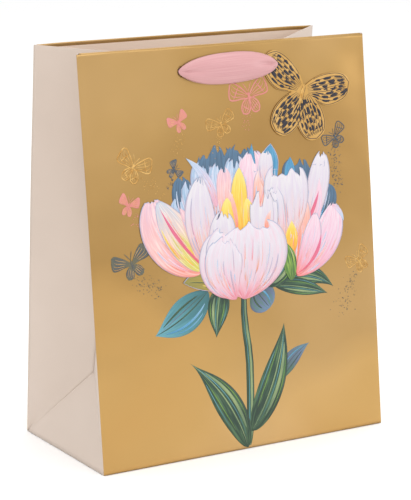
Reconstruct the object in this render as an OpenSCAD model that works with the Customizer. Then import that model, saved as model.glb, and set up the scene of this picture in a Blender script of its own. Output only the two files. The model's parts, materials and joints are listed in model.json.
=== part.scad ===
// Paper gift bag with ribbon handles and a butterfly gift tag.
// Millimetres. +Z is up, -Y is the front, and the origin is the centre of the base on the table.
// The front and back panels lean inwards from the base, and the side gussets fold in between them.

/* [Bag] */
// Width of the front and back panels
bag_w = 265; // [220:1:330]
// Height of a panel, measured along its slope
bag_h = 330; // [260:1:420]
// Depth of the base, front to back
bag_d = 140; // [110:1:180]
// Depth of the mouth, front to back
mouth_d = 80; // [60:1:100]
// Thickness of the paper
paper_t = 0.3; // [0.2:0.05:0.5]

/* [Mouth hem] */
// Depth of the paper turned in at the mouth
hem_h = 40; // [32:1:60]
// Height of the board inside each hem
hem_board_h = 37; // [28:1:56]
// Thickness of the board inside each hem
hem_board_t = 1; // [0.6:0.1:1.6]
// Margin between the hem board and each side of its panel
hem_board_margin = 4; // [2:0.5:10]

/* [Base] */
// Thickness of the loose base card
base_card_t = 1.2; // [0.6:0.1:2]
// Margin between the base card and the walls
base_card_margin = 3; // [2:0.5:6]
// Width over which the two long bottom flaps are glued together
bottom_lap = 24; // [12:1:40]
// Length of each short bottom flap
side_flap_l = 60; // [40:1:80]
// Width of the glued flap in the back corner
seam_flap_w = 16; // [10:1:25]

/* [Ribbon handles] */
// Width of the satin ribbon
ribbon_w = 25; // [15:1:34]
// Thickness that the outer stretch of a handle takes up
ribbon_t = 1.6; // [1:0.1:3]
// Diameter of each punched hole
hole_d = 6; // [4:0.5:8]
// Distance between the two holes of a handle
hole_spacing = 86; // [70:1:120]
// Distance from the mouth down to the holes
hole_drop = 20; // [18:1:26]
// Length of ribbon that hangs inside the bag from each hole
tail_l = 150; // [80:1:180]
// Width of the hanging ribbon
tail_w = 18; // [12:1:22]
// Diameter of the knot at the end of each tail
knot_d = 11; // [8:0.5:13]
// Length of ribbon left below each knot
knot_end_l = 16; // [8:1:25]

/* [Butterfly tag] */
// Length of the tag's two upper wings
fore_wing_l = 46; // [34:1:54]
// Length of the tag's two lower wings
hind_wing_l = 42; // [30:1:50]
// Distance from the tag's body to the hole that the ribbon holds it by
tag_reach = 35; // [26:0.5:38]
// Thickness of the tag's card
tag_t = 0.5; // [0.3:0.05:1]
// How far the tag is turned, seen from the front
tag_turn = -20; // [-180:1:180]

/* [Hidden] */
// Layer of glue between two papers
glue = 0.05;
// Room between a panel and what it hinges against
hinge_gap = 0.35;
// Room between the bottom flaps and the panels that hinge beside them
flap_room = 0.7;
// Room between the two halves of a gusset at its centre crease
crease_gap = 0.2;
// Widening of a gusset's wall along X, because its halves stand at a slant
gusset_slant = 1.6;
// Rows of creased strips in a gusset, below and inside its hem
gusset_rows = 7;
gusset_hem_rows = 2;
// Room round the ribbon in a punched hole, and round it in the tag's hole
hole_fit = 0.05;
tag_fit = 0.08;
// Layers in front of a panel: the tag, then the ribbon
tag_gap = 0.35;
ribbon_gap = tag_gap + tag_t + 0.45;

// The lean that brings the base depth down to the mouth depth over the panel's height
lean = asin((bag_d - mouth_d) / 2 / bag_h);
// The crease round the lower bag stands half a depth up, where the gusset's diagonals meet
crease_h = bag_d / 2;
hem_stack = 2 * paper_t + 2 * glue + hem_board_t;
hole_z = bag_h - hole_drop;
gather_d = hole_d - 2 * hole_fit;
gather_in = hem_stack + knot_d / 2 + 1.7;
gather_out = ribbon_gap + ribbon_t;
tail_y = hem_stack + knot_d / 2 + 0.7;
tail_t = 1.2;
round_fn = 48;

foil_gold = "#C9A462";
blush_paper = "#DCCBBB";
grey_board = "#A9A49B";
satin_pink = "#E6B2B4";

// ---- Places ----

// A panel's own frame: X along its width, Z up its slope, Y inwards, origin on its bottom crease
module in_front_frame() {
    translate([0, -bag_d / 2, 0])
        rotate([-lean, 0, 0])
            children();
}

module to_back() {
    mirror([0, 1, 0])
        children();
}

module to_right() {
    mirror([1, 0, 0])
        children();
}

// World place of a point given in the front panel's frame
function from_front(y, z) =
    [-bag_d / 2 + y * cos(lean) + z * sin(lean), z * cos(lean) - y * sin(lean)];

// ---- Gusset creases ----

// How far the foot triangle tips in, so that the half width of the horizontal crease keeps its length
crease_end_y = bag_d / 2 - crease_h * sin(lean);
crease_end_z = crease_h * cos(lean);
foot_tip = acos((crease_h * crease_h + crease_end_y * crease_end_y + crease_end_z * crease_end_z
    - bag_d * bag_d / 4) / (2 * crease_end_z * crease_h));
// Apex of the foot triangle on the centre crease, as [distance inwards, height]
apex = [crease_h * sin(foot_tip), crease_h * cos(foot_tip)];
// Top of the centre crease: the panel height above the apex, and half a depth from the mouth corners
mouth_corner_z = bag_h * cos(lean);
upper_crease = bag_h - crease_h;
mouth_reach = sqrt(bag_d * bag_d - mouth_d * mouth_d) / 2;
to_mouth = [-apex[0], mouth_corner_z - apex[1]];
along = (upper_crease * upper_crease - mouth_reach * mouth_reach + to_mouth * to_mouth)
    / (2 * norm(to_mouth));
aside = sqrt(upper_crease * upper_crease - along * along);
crease_top = apex + (along * to_mouth + aside * [to_mouth[1], -to_mouth[0]]) / norm(to_mouth);

// Points of the left gusset's front half. edge() lies beside the front panel, centre() on the crease
gusset_edge_in = 2 * paper_t + glue + hinge_gap;
function edge(slope_z) =
    let (p = from_front(gusset_edge_in, slope_z)) [-bag_w / 2, p[0], slope_z * cos(lean)];
function centre(slope_z) =
    let (p = apex + (slope_z - crease_h) / upper_crease * (crease_top - apex))
    [-bag_w / 2 + p[0], -crease_gap / 2, p[1]];
// The diagonal runs from the bottom corner to the apex
function diagonal(share) = (1 - share) * edge(paper_t) + share * centre(crease_h);

hem_foot = bag_h - hem_h;
wall_rows = [for (i = [0 : gusset_rows]) crease_h + (hem_foot - crease_h) * i / gusset_rows];
hem_rows = [for (i = [0 : gusset_hem_rows]) hem_foot + hem_h * i / gusset_hem_rows];

// A thin wall between two lines of points, from x0 to x1 further along X
module strip_wall(outer, inner, x0, x1) {
    n = len(outer);
    ring = concat(outer, [for (i = [n - 1 : -1 : 0]) inner[i]]);
    last = 2 * n - 1;
    polyhedron(
        points = concat([for (p = ring) p + [x0, 0, 0]], [for (p = ring) p + [x1, 0, 0]]),
        faces = concat(
            [for (i = [0 : n - 2]) each [[i, i + 1, last - i - 1], [i, last - i - 1, last - i]]],
            [for (i = [0 : n - 2]) each [
                [last + 1 + i, 2 * last - i, last + 2 + i],
                [last + 1 + i, 2 * last + 1 - i, 2 * last - i]
            ]],
            [for (i = [0 : last]) let (next = (i + 1) % (last + 1))
                [i, last + 1 + i, last + 1 + next, next]]
        )
    );
}

gusset_wall = paper_t * gusset_slant;

module gusset_half() {
    diagonal_start = 0.01;
    rows = concat(wall_rows, [for (i = [1 : gusset_hem_rows]) hem_rows[i]]);
    color(blush_paper)
        strip_wall(
            concat([edge(paper_t)], [for (z = rows) edge(z)]),
            concat([diagonal(diagonal_start)], [for (z = rows) centre(z)]),
            0, gusset_wall
        );
}

// The lower triangle, which stays on the base
module gusset_foot() {
    foot_room = 0.8;
    corner_y = bag_d / 2 - gusset_edge_in - foot_room;
    tip = [-bag_w / 2 + apex[0] - foot_room, 0, apex[1] - 2 * foot_room];
    color(blush_paper)
        strip_wall(
            [[-bag_w / 2, corner_y, 0], tip + [0, crease_gap, 0]],
            [[-bag_w / 2, -corner_y, 0], tip - [0, crease_gap, 0]],
            gusset_wall, 0
        );
}

// The turned-in paper at the gusset's mouth
module gusset_hem() {
    color(blush_paper)
        strip_wall(
            [for (z = hem_rows) edge(z)],
            [for (z = hem_rows) centre(z)],
            gusset_wall + glue, 2 * gusset_wall + glue
        );
}

// ---- Base ----

// The flaps start clear of the panels' inner faces, and of the gusset feet that slope in over them
flap_edge = bag_d / 2 - paper_t - flap_room;
flap_w = bag_w - 2 * (gusset_wall + 1.5 * flap_room);
inner_lap_z = paper_t + glue;
side_flap_z = inner_lap_z + paper_t + glue;
base_card_z = side_flap_z + paper_t + glue;

module bottom_rear_flap() {
    color(blush_paper)
        translate([-flap_w / 2, -bottom_lap / 2, 0])
            cube([flap_w, flap_edge + bottom_lap / 2, paper_t]);
}

// Lies on the table, then steps up over the rear flap where the two are glued
module bottom_front_flap() {
    step_y = -bottom_lap / 2 - hinge_gap;
    color(blush_paper)
        translate([-flap_w / 2, 0, 0])
            rotate([90, 0, 90])
                linear_extrude(flap_w)
                    polygon([
                        [-flap_edge, 0],
                        [step_y, 0],
                        [step_y, inner_lap_z],
                        [bottom_lap / 2, inner_lap_z],
                        [bottom_lap / 2, inner_lap_z + paper_t],
                        [step_y - paper_t, inner_lap_z + paper_t],
                        [step_y - paper_t, paper_t],
                        [-flap_edge, paper_t]
                    ]);
}

// Short flap with mitred corners
module bottom_left_flap() {
    color(blush_paper)
        translate([-flap_w / 2, 0, side_flap_z])
            linear_extrude(paper_t)
                polygon([
                    [0, -flap_edge],
                    [side_flap_l, -flap_edge + side_flap_l / 3],
                    [side_flap_l, flap_edge - side_flap_l / 3],
                    [0, flap_edge]
                ]);
}

module base_card() {
    card_w = bag_w - 2 * (base_card_margin + gusset_wall);
    card_d = bag_d - 2 * base_card_margin;
    color(grey_board)
        translate([-card_w / 2, -card_d / 2, base_card_z])
            cube([card_w, card_d, base_card_t]);
}

// ---- Panels and hems ----

// A panel's hem stops short of its sides, where the gussets start inwards
hem_margin = hinge_gap + 2 * gusset_wall + glue
    + (hem_stack - gusset_edge_in) * 2 * crease_top[0] / mouth_d;

module punched() {
    difference() {
        children();
        for (side = [-1, 1])
            translate([side * hole_spacing / 2, -1, hole_z])
                rotate([-90, 0, 0])
                    cylinder(h = hem_stack + 2, d = hole_d, $fn = round_fn);
    }
}

module panel() {
    color(foil_gold)
        in_front_frame()
            punched()
                translate([-bag_w / 2, 0, hinge_gap])
                    cube([bag_w, paper_t, bag_h - hinge_gap - paper_t - glue]);
}

// Folds over the mouth's edge and down the inside, with the board between it and the panel
module hem() {
    color(blush_paper)
        in_front_frame()
            punched()
                translate([-bag_w / 2 + hem_margin, 0, bag_h])
                    rotate([90, 0, 90])
                        linear_extrude(bag_w - 2 * hem_margin)
                            polygon([
                                [0, 0],
                                [0, -paper_t],
                                [hem_stack - paper_t, -paper_t],
                                [hem_stack - paper_t, -hem_h],
                                [hem_stack, -hem_h],
                                [hem_stack, 0]
                            ]);
}

module hem_board() {
    color(grey_board)
        in_front_frame()
            punched()
                translate([-bag_w / 2 + hem_board_margin, paper_t + glue, bag_h - paper_t - glue - hem_board_h])
                    cube([bag_w - 2 * hem_board_margin, hem_board_t, hem_board_h]);
}

// The glued flap runs down the inside of the back panel, from the hem to the base
module seam_flap() {
    flap_foot = crease_h / 4;
    color(blush_paper)
        to_back()
            in_front_frame()
                translate([-bag_w / 2 + hinge_gap, paper_t + glue, flap_foot])
                    cube([seam_flap_w, paper_t, bag_h - hem_h - flap_foot - hinge_gap]);
}

// ---- Ribbon handles ----

// The bunched ribbon that fills a hole, from the handle outside to the tail inside
module gather(side) {
    color(satin_pink)
        in_front_frame()
            translate([side * hole_spacing / 2, -gather_out, hole_z])
                rotate([-90, 0, 0])
                    cylinder(h = gather_out + gather_in, d = gather_d, $fn = round_fn);
}

// The outer stretch lies flat between the holes, full width in the middle and pinched at its ends
ribbon_half_l = hole_spacing / 2 - gather_d / 2 - hinge_gap;
ribbon_end_w = gather_d - 1;
function ribbon_half_w(share) =
    ribbon_end_w / 2 + (ribbon_w - ribbon_end_w) / 2 * pow(1 - pow(abs(share), 3), 0.8);

module ribbon() {
    steps = 20;
    upper = [for (i = [-steps : steps]) [i / steps * ribbon_half_l, ribbon_half_w(i / steps)]];
    lower = [for (i = [steps : -1 : -steps]) [i / steps * ribbon_half_l, -ribbon_half_w(i / steps)]];
    color(satin_pink)
        in_front_frame()
            translate([0, -ribbon_gap, hole_z])
                rotate([90, 0, 0])
                    linear_extrude(ribbon_t)
                        polygon(concat(upper, lower));
}

// The tails hang straight down from the inner end of each gather
tail_place = from_front(tail_y, hole_z);
tail_top = tail_place[1] - gather_d / 2 - 0.3;
tail_bottom = tail_top - tail_l;
knot_gap = 0.35;

module at_tail(side, z) {
    translate([side * hole_spacing / 2, tail_place[0], z])
        children();
}

module tail(side) {
    spread_l = tail_l / 5;
    pinch_w = gather_d;
    color(satin_pink)
        at_tail(side, tail_top)
            rotate([90, 0, 0])
                translate([0, 0, -tail_t / 2])
                    linear_extrude(tail_t)
                        polygon([
                            [-pinch_w / 2, 0],
                            [-tail_w / 2, -spread_l],
                            [-tail_w / 2, spread_l - tail_l],
                            [-pinch_w / 2, -tail_l],
                            [pinch_w / 2, -tail_l],
                            [tail_w / 2, spread_l - tail_l],
                            [tail_w / 2, -spread_l],
                            [pinch_w / 2, 0]
                        ]);
}

// A single overhand knot, with the cut end of the ribbon below it
module knot(side) {
    color(satin_pink)
        at_tail(side, tail_bottom - knot_gap - knot_d / 2) {
            sphere(d = knot_d, $fn = round_fn);
            translate([0, tail_t / 2, 0])
                rotate([90, 0, 0])
                    linear_extrude(tail_t)
                        polygon([
                            [-gather_d / 2, 0],
                            [gather_d / 2, 0],
                            [tail_w / 2, -knot_d / 2 - knot_end_l],
                            [-tail_w / 2, -knot_d / 2 - knot_end_l]
                        ]);
        }
}

// ---- Butterfly tag ----

// A wing of length 1, from its root along +X, with its leading edge on the +Y side
fore_wing = [
    [0, 0.05], [0.3, 0.2], [0.64, 0.24], [0.9, 0.17], [1, 0.02], [0.95, -0.17], [0.76, -0.3],
    [0.46, -0.33], [0.2, -0.18], [0, -0.05]
];
hind_wing = [
    [0, 0.08], [0.28, 0.24], [0.62, 0.31], [0.9, 0.22], [1, 0], [0.92, -0.22], [0.62, -0.33],
    [0.28, -0.26], [0, -0.08]
];
// How far each wing points round from the head
fore_spread = 66;
right_hind_spread = 144;
left_hind_spread = 158;
// Slim body, from its head at the top to its tail
tag_body = [[0, 5.5], [2.2, 3.5], [2.4, -6], [0, -12], [-2.4, -6], [-2.2, 3.5]];
// The hole lies on the left fore wing's own line
tag_hole_turn = fore_spread + 2;

function smooth_point(a, b, c, d, t) =
    0.5 * (2 * b + (c - a) * t + (2 * a - 5 * b + 4 * c - d) * t * t
        + (3 * b - a - 3 * c + d) * t * t * t);
// A smooth closed curve through the points
function smooth_loop(points, steps = 4) =
    let (n = len(points))
    [for (i = [0 : n - 1]) for (s = [0 : steps - 1])
        smooth_point(points[(i + n - 1) % n], points[i], points[(i + 1) % n], points[(i + 2) % n],
            s / steps)];

// Turns a wing that points along +X to its place on the head's right; the head points along +Y
module wing(shape, length, spread) {
    rotate(90 - spread)
        polygon(length * smooth_loop(shape));
}

module butterfly_outline() {
    wing(fore_wing, fore_wing_l, fore_spread);
    wing(hind_wing, hind_wing_l, right_hind_spread);
    mirror([1, 0, 0]) {
        wing(fore_wing, fore_wing_l, fore_spread);
        wing(hind_wing, hind_wing_l, left_hind_spread);
    }
    polygon(smooth_loop(tag_body));
}

// Hangs on the ribbon at the right hole, between the panel and the outer stretch
module butterfly_tag() {
    color(foil_gold)
        in_front_frame()
            translate([hole_spacing / 2, -tag_gap, hole_z])
                rotate([90, 0, 0])
                    rotate(tag_turn)
                        difference() {
                            translate(tag_reach * [sin(tag_hole_turn), -cos(tag_hole_turn), 0])
                                linear_extrude(tag_t)
                                    butterfly_outline();
                            translate([0, 0, -1])
                                cylinder(h = tag_t + 2, d = gather_d + 2 * tag_fit, $fn = round_fn);
                        }
}

bottom_rear_flap();
bottom_front_flap();
bottom_left_flap();
to_right() bottom_left_flap();  // bottom_right_flap
base_card();
gusset_foot();  // left_gusset_foot
gusset_half();  // left_gusset_front
to_back() gusset_half();  // left_gusset_rear
to_right() gusset_foot();  // right_gusset_foot
to_right() gusset_half();  // right_gusset_front
to_right() to_back() gusset_half();  // right_gusset_rear
gusset_hem();  // left_gusset_front_hem
to_back() gusset_hem();  // left_gusset_rear_hem
to_right() gusset_hem();  // right_gusset_front_hem
to_right() to_back() gusset_hem();  // right_gusset_rear_hem
panel();  // front_panel
hem();  // front_hem
hem_board();  // front_hem_board
gather(-1);  // front_left_gather
gather(1);  // front_right_gather
tail(-1);  // front_left_tail
tail(1);  // front_right_tail
knot(-1);  // front_left_knot
knot(1);  // front_right_knot
ribbon();  // front_ribbon
to_back() panel();  // back_panel
to_back() hem();  // back_hem
to_back() hem_board();  // back_hem_board
seam_flap();  // back_seam_flap
to_back() gather(-1);  // back_left_gather
to_back() gather(1);  // back_right_gather
to_back() tail(-1);  // back_left_tail
to_back() tail(1);  // back_right_tail
to_back() knot(-1);  // back_left_knot
to_back() knot(1);  // back_right_knot
to_back() ribbon();  // back_ribbon
butterfly_tag();
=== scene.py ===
"""A large paper gift bag: gold foil panels with a printed flower, blush paper gussets folded in at the
sides, satin ribbon handles, and a die-cut butterfly tag. Metres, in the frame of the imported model."""

import json
import math
import random

import bpy
from mathutils import Matrix, Vector, noise


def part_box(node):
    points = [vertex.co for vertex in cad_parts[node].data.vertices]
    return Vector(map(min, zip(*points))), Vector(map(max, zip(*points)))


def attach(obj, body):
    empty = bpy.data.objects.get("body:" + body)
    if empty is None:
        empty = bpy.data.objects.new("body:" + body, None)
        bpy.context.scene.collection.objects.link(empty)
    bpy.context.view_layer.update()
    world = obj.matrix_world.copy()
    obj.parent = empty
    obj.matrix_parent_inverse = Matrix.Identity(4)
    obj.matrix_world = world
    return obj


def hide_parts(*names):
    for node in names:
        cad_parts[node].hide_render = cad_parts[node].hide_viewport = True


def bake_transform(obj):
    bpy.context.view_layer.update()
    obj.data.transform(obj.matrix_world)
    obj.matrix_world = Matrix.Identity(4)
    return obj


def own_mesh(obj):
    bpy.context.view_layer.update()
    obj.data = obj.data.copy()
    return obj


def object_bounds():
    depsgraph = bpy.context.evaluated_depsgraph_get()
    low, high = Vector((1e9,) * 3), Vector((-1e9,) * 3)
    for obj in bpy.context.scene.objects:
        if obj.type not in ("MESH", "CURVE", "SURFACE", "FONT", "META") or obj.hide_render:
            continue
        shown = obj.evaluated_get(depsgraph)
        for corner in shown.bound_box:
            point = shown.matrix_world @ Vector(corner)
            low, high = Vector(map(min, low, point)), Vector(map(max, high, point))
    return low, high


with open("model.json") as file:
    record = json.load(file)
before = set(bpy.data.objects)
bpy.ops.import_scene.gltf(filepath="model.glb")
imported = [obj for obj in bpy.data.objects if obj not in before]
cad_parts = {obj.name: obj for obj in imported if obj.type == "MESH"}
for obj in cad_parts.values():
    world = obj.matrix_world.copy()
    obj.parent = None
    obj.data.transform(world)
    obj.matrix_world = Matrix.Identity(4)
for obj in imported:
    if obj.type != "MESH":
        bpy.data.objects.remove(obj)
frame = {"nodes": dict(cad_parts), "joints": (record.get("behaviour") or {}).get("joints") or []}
cad_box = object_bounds()

# ---- Camera, light and floor ----
# A long lens looks at the bag from its front left corner and a little above it. The light is a white
# room with soft panels, and the bag stands on a pale sweep.

bpy.ops.object.select_all(action="DESELECT")

azimuth = math.radians(-30.31)
elevation = math.radians(11.84)
camera_roll = math.radians(-0.51)
aim = Vector((0, 0, 0.165))
camera_distance = 1.651
away = Vector((
    math.sin(azimuth) * math.cos(elevation),
    -math.cos(azimuth) * math.cos(elevation),
    math.sin(elevation),
))
bpy.ops.object.camera_add(location=aim + camera_distance * away)
camera = bpy.context.object
camera.rotation_euler = (
    away.to_track_quat("Z", "Y").to_matrix() @ Matrix.Rotation(camera_roll, 3, "Z")
).to_euler()
camera.data.lens = 143.6
camera.data.shift_x = 0.0046
camera.data.shift_y = -0.0288
bpy.context.scene.camera = camera
bpy.context.scene.view_settings.view_transform = "Standard"


def linear(hex_code):
    """An sRGB hex colour as linear RGBA."""
    parts = [int(hex_code[i : i + 2], 16) / 255 for i in (1, 3, 5)]
    return [c / 12.92 if c <= 0.04045 else ((c + 0.055) / 1.055) ** 2.4 for c in parts] + [1]


def soft_panel(name, place, aim_at, width, height, power):
    """A soft box of that size and power in watts, facing aim_at."""
    bpy.ops.object.light_add(type="AREA", location=place)
    lamp = bpy.context.object
    lamp.name = name
    lamp.rotation_euler = (Vector(place) - Vector(aim_at)).to_track_quat("Z", "Y").to_euler()
    lamp.data.shape = "RECTANGLE"
    lamp.data.size = width
    lamp.data.size_y = height
    lamp.data.energy = power


soft_panel("key_panel", (-1.6, -1.9, 1.9), (0, 0, 0.15), 1.6, 1.4, 13)
soft_panel("right_panel", (2.2, -1.5, 0.9), (0, 0, 0.2), 1.6, 1.2, 9)
soft_panel("top_panel", (0.1, -0.3, 2.3), (0, 0, 0.1), 2.0, 2.0, 18)

world = bpy.data.worlds.new("white_room")
bpy.context.scene.world = world
world.use_nodes = True
world.node_tree.nodes["Background"].inputs["Color"].default_value = linear("#FFFFFF")
world.node_tree.nodes["Background"].inputs["Strength"].default_value = 1.0


def new_material(name, inputs):
    """A material with one Principled shader, set by inputs. Returns the material and its shader."""
    material = bpy.data.materials.new(name)
    material.use_nodes = True
    shader = material.node_tree.nodes["Principled BSDF"]
    for socket, value in inputs.items():
        shader.inputs[socket].default_value = value
    return material, shader


bpy.ops.mesh.primitive_plane_add(size=40, location=(0, 0, cad_box[0].z - 0.0002))
floor = bpy.context.object
floor.name = "floor"
floor_paint, shader = new_material("matt_white_paint", {"Roughness": 0.9, "Base Color": linear("#FBFBFB")})
floor.data.materials.append(floor_paint)


# ---- Foil paper of the front and back panels ----
# One sheet of 170 g paper makes the whole bag. Its two large panels are laminated with gold foil as far
# as the side creases. Each swells a little between its creases, and gives along the lower crease.


def joint(name):
    """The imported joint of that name."""
    return next(j for j in frame["joints"] if j["name"] == name)


crease = Vector(joint("front_wall_lean")["pos_m"])
up = Vector(joint("front_handle_draw")["axis"]).normalized()
inward = Vector(joint("tag_swing")["axis"]).normalized()
hole = Vector(joint("tag_swing")["pos_m"])
hole_x = hole.x
hole_s = (hole - crease).dot(up)
half_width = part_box("front_panel")[1].x
slope_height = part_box("front_hem")[1].z / up.z
half_depth = -crease.y
mm = 0.001
paper = 0.3 * mm
hole_radius = 3 * mm


def ease(value, start, stop):
    """Rises smoothly from 0 at start to 1 at stop."""
    t = min(max((value - start) / (stop - start), 0), 1)
    return t * t * (3 - 2 * t)


def swell(x, s):
    """How far a panel's paper stands out from its flat plane, at x across and s up its slope."""
    side = half_width - abs(x)
    soft = 1 - ease(s, 100 * mm, 235 * mm)
    inner = 1 - math.exp(-(side / (30 * mm)) ** 2)
    belly = 1.3 * mm * math.sin(math.pi * min(s / (225 * mm), 1)) * inner
    from_crease = math.hypot(s - half_depth, 26 * mm) - 26 * mm
    give = -1.8 * mm * math.exp(-from_crease / (46 * mm)) * ease(s, 0, 40 * mm) * inner
    slack = noise.noise(Vector((x * 11, s * 9, 4.2))) + 0.3 * noise.noise(Vector((x * 17, s * 14, 1.7)))
    ripple = 0.8 * mm * slack * inner * soft * ease(s, 0, 25 * mm)
    curl = -2.2 * mm * math.exp(-(side / (16 * mm)) ** 2) * ease(s, 190 * mm, slope_height)
    return belly + give + ripple + curl


def off_plane(x, s, out):
    """A point out from the front panel's flat plane, at x across and s up its slope."""
    return crease + Vector((x, 0, 0)) + s * up - out * inward


def on_panel(x, s, out=0.0):
    """A point out from the front panel's paper."""
    return off_plane(x, s, swell(x, s) + out)


def select_only(*pieces):
    """Selects these pieces, and makes the first active."""
    bpy.ops.object.select_all(action="DESELECT")
    for piece in pieces:
        piece.select_set(True)
    bpy.context.view_layer.objects.active = pieces[0]


def sheet_of(name, across, along, place, outward, materials):
    """A grid with a column at each value of across and a row at each value of along, laid by place.
    Its faces look outward, if that is given."""
    columns, rows = len(across) - 1, len(along) - 1
    bpy.ops.mesh.primitive_grid_add(x_subdivisions=columns, y_subdivisions=rows, size=2)
    piece = bpy.context.object
    piece.name = name
    for vertex in piece.data.vertices:
        column = round((vertex.co.x + 1) / 2 * columns)
        row = round((vertex.co.y + 1) / 2 * rows)
        vertex.co = place(across[column], along[row])
    if outward is not None:
        facing = sum(f.area * f.normal.dot(Vector(outward)) for f in piece.data.polygons)
        if facing < 0:
            piece.data.flip_normals()
    for material in materials:
        piece.data.materials.append(material)
    bpy.ops.object.shade_smooth()
    return piece


def finish_with(piece, kind, **settings):
    """Adds a modifier, sets it and applies it."""
    select_only(piece)
    modifier = piece.modifiers.new(kind.lower(), kind)
    for name, value in settings.items():
        setattr(modifier, name, value)
    bpy.ops.object.modifier_apply(modifier=modifier.name)


def thicken(piece, thickness, offset=-1, **settings):
    """Gives a sheet its thickness, behind its faces where offset is -1."""
    finish_with(piece, "SOLIDIFY", thickness=thickness, offset=offset, **settings)


def steps(start, stop, count):
    """Evenly spaced values from start to stop, both included."""
    return [start + (stop - start) * i / count for i in range(count + 1)]


def add_node(material, kind, output, links, **settings):
    """Adds a shader node with its settings, gives its sockets a value or a link, and returns an output."""
    new = material.node_tree.nodes.new("ShaderNode" + kind)
    for name, value in settings.items():
        setattr(new, name, value)
    for socket, value in links.items():
        if isinstance(value, bpy.types.NodeSocket):
            material.node_tree.links.new(value, new.inputs[socket])
        else:
            new.inputs[socket].default_value = value
    return new.outputs[output]


def texture_place(material, kind="Object"):
    """Where a point of the surface is, in the object or in its UV map."""
    return add_node(material, "TexCoord", kind, {})


def mapped(material, vector, scale, **more):
    """A vector scaled, and moved or turned."""
    return add_node(material, "Mapping", "Vector", {"Vector": vector, "Scale": scale, **more})


def cloud_at(material, vector, scale, detail, **more):
    """The value of a noise texture."""
    links = {"Vector": vector, "Scale": scale, "Detail": detail, **more}
    return add_node(material, "TexNoise", "Fac", links)


def worked_out(material, operation, *values):
    """One step of arithmetic on values."""
    return add_node(material, "Math", "Value", dict(enumerate(values)), operation=operation)


def spread_out(material, value, low, high, top=1.0):
    """Spreads the values between low and high over 0 to top."""
    links = {"Value": value, "From Min": low, "From Max": high, "To Max": top}
    return add_node(material, "MapRange", "Result", links)


def ramp_at(material, value, stops):
    """The colour at value on a ramp through stops."""
    colour = add_node(material, "ValToRGB", "Color", {"Fac": value})
    ramp = colour.node.color_ramp.elements
    for index, (position, hex_code) in enumerate(stops):
        stop = ramp[index] if index < 2 else ramp.new(position)
        stop.position = position
        stop.color = linear(hex_code)
    return colour


def mixed_colour(material, share, first, second, blend="MIX"):
    """Two colours mixed, by the share of the second."""
    links = {0: share, 6: first, 7: second}
    return add_node(material, "Mix", 2, links, data_type="RGBA", blend_type=blend)


def bump_of(material, height, strength, distance=0.1 * mm, **more):
    """The normal of a surface raised by height."""
    links = {"Height": height, "Strength": strength, "Distance": distance, **more}
    return add_node(material, "Bump", "Normal", links)


def cover(shader, colour, normal=None):
    """Links a colour, and a bumped normal if there is one, to a shader."""
    shader.id_data.links.new(colour, shader.inputs["Base Color"])
    if normal is not None:
        shader.id_data.links.new(normal, shader.inputs["Normal"])


# Gold foil laminate: an aluminium film with a gold lacquer, rolled on. It shines softly and blurs
# what it mirrors, and its tone drifts slowly over the sheet
gold_foil, shader = new_material("satin_gold_foil", {"Roughness": 0.36, "Metallic": 0.72})
place = texture_place(gold_foil)
drift = mapped(gold_foil, place, (6, 6, 8), Rotation=(0, 0.6, 0))
cloud = cloud_at(gold_foil, drift, 1.0, 1.5, Roughness=0.45)
tone = ramp_at(gold_foil, cloud, [(0.3, "#BA9255"), (0.5, "#C29B5E"), (0.7, "#CFA971")])
# Painted reflection and shade: by height, with the cloud mixed in, the foil is painted paler below the
# lower crease and darker over the middle third
height = add_node(gold_foil, "SeparateXYZ", "Z", {"Vector": place})
reflection_level = worked_out(gold_foil, "MULTIPLY_ADD", cloud, 0.32, height)
painted_reflection = ramp_at(
    gold_foil, spread_out(gold_foil, reflection_level, 0.16, 0.49),
    [(0.0, "#FFFFFF"), (0.2, "#F8F8F8"), (0.34, "#E2E1DF"), (0.6, "#DFDDDA"), (0.86, "#E9E8E6")],
)
# The rolled film's orange peel, 0.5 mm across
peel = bump_of(gold_foil, cloud_at(gold_foil, place, 2000.0, 2.0), 0.05)
# Slack in the sheet, 60 mm and wider, which breaks up what the foil mirrors
slope = bump_of(gold_foil, cloud_at(gold_foil, drift, 2.6, 1.0), 0.8, 6 * mm, Normal=peel)
# The foil's tone is multiplied by the painted reflection and shade by height
cover(shader, mixed_colour(gold_foil, 1.0, tone, painted_reflection, "MULTIPLY"), slope)


def paper_stock(name, stops):
    """Smooth matt paper with a slow drift of tone and a fine tooth of fibres about 1 mm long."""
    material, shader = new_material(name, {"Roughness": 0.55, "Sheen Weight": 0.06})
    place = texture_place(material)
    tone = ramp_at(material, cloud_at(material, place, 12.0, 3.0), stops)
    cover(shader, tone, bump_of(material, cloud_at(material, place, 1000.0, 4.0), 0.12))
    return material


# The gussets are printed blush. The inner side of the sheet has the same tint, thinner and lighter
blush_paper = paper_stock("blush_paper", [(0.3, "#C5B5A8"), (0.55, "#C9B9AC"), (0.75, "#CDBDB1")])
inner_paper = paper_stock("inner_paper", [(0.3, "#EFD9C6"), (0.55, "#F3DECC"), (0.75, "#F6E3D2")])

fold_radius = 0.6 * mm
fold_turn = 1.9
edge_flat = half_width - fold_radius


def wrapped(u, s):
    """A point on the panel, or round its side fold where u is past the flat."""
    if abs(u) <= edge_flat:
        return on_panel(u, s)
    side = math.copysign(1, u)
    turn = min((abs(u) - edge_flat) / fold_radius, fold_turn)
    aside = side * fold_radius * math.sin(turn) * Vector((1, 0, 0))
    ahead = fold_radius * math.cos(turn) * inward
    return on_panel(side * edge_flat, s) + fold_radius * inward + aside - ahead


fold_columns = [edge_flat + fold_radius * fold_turn * i / 6 for i in range(1, 7)]
foil_columns = [-u for u in reversed(fold_columns)] + steps(-edge_flat, edge_flat, 96) + fold_columns
mouth_roll = 0.9 * mm
panel_foot = 0.4 * mm
panel_rows = steps(panel_foot, slope_height - mouth_roll, 120)


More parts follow.
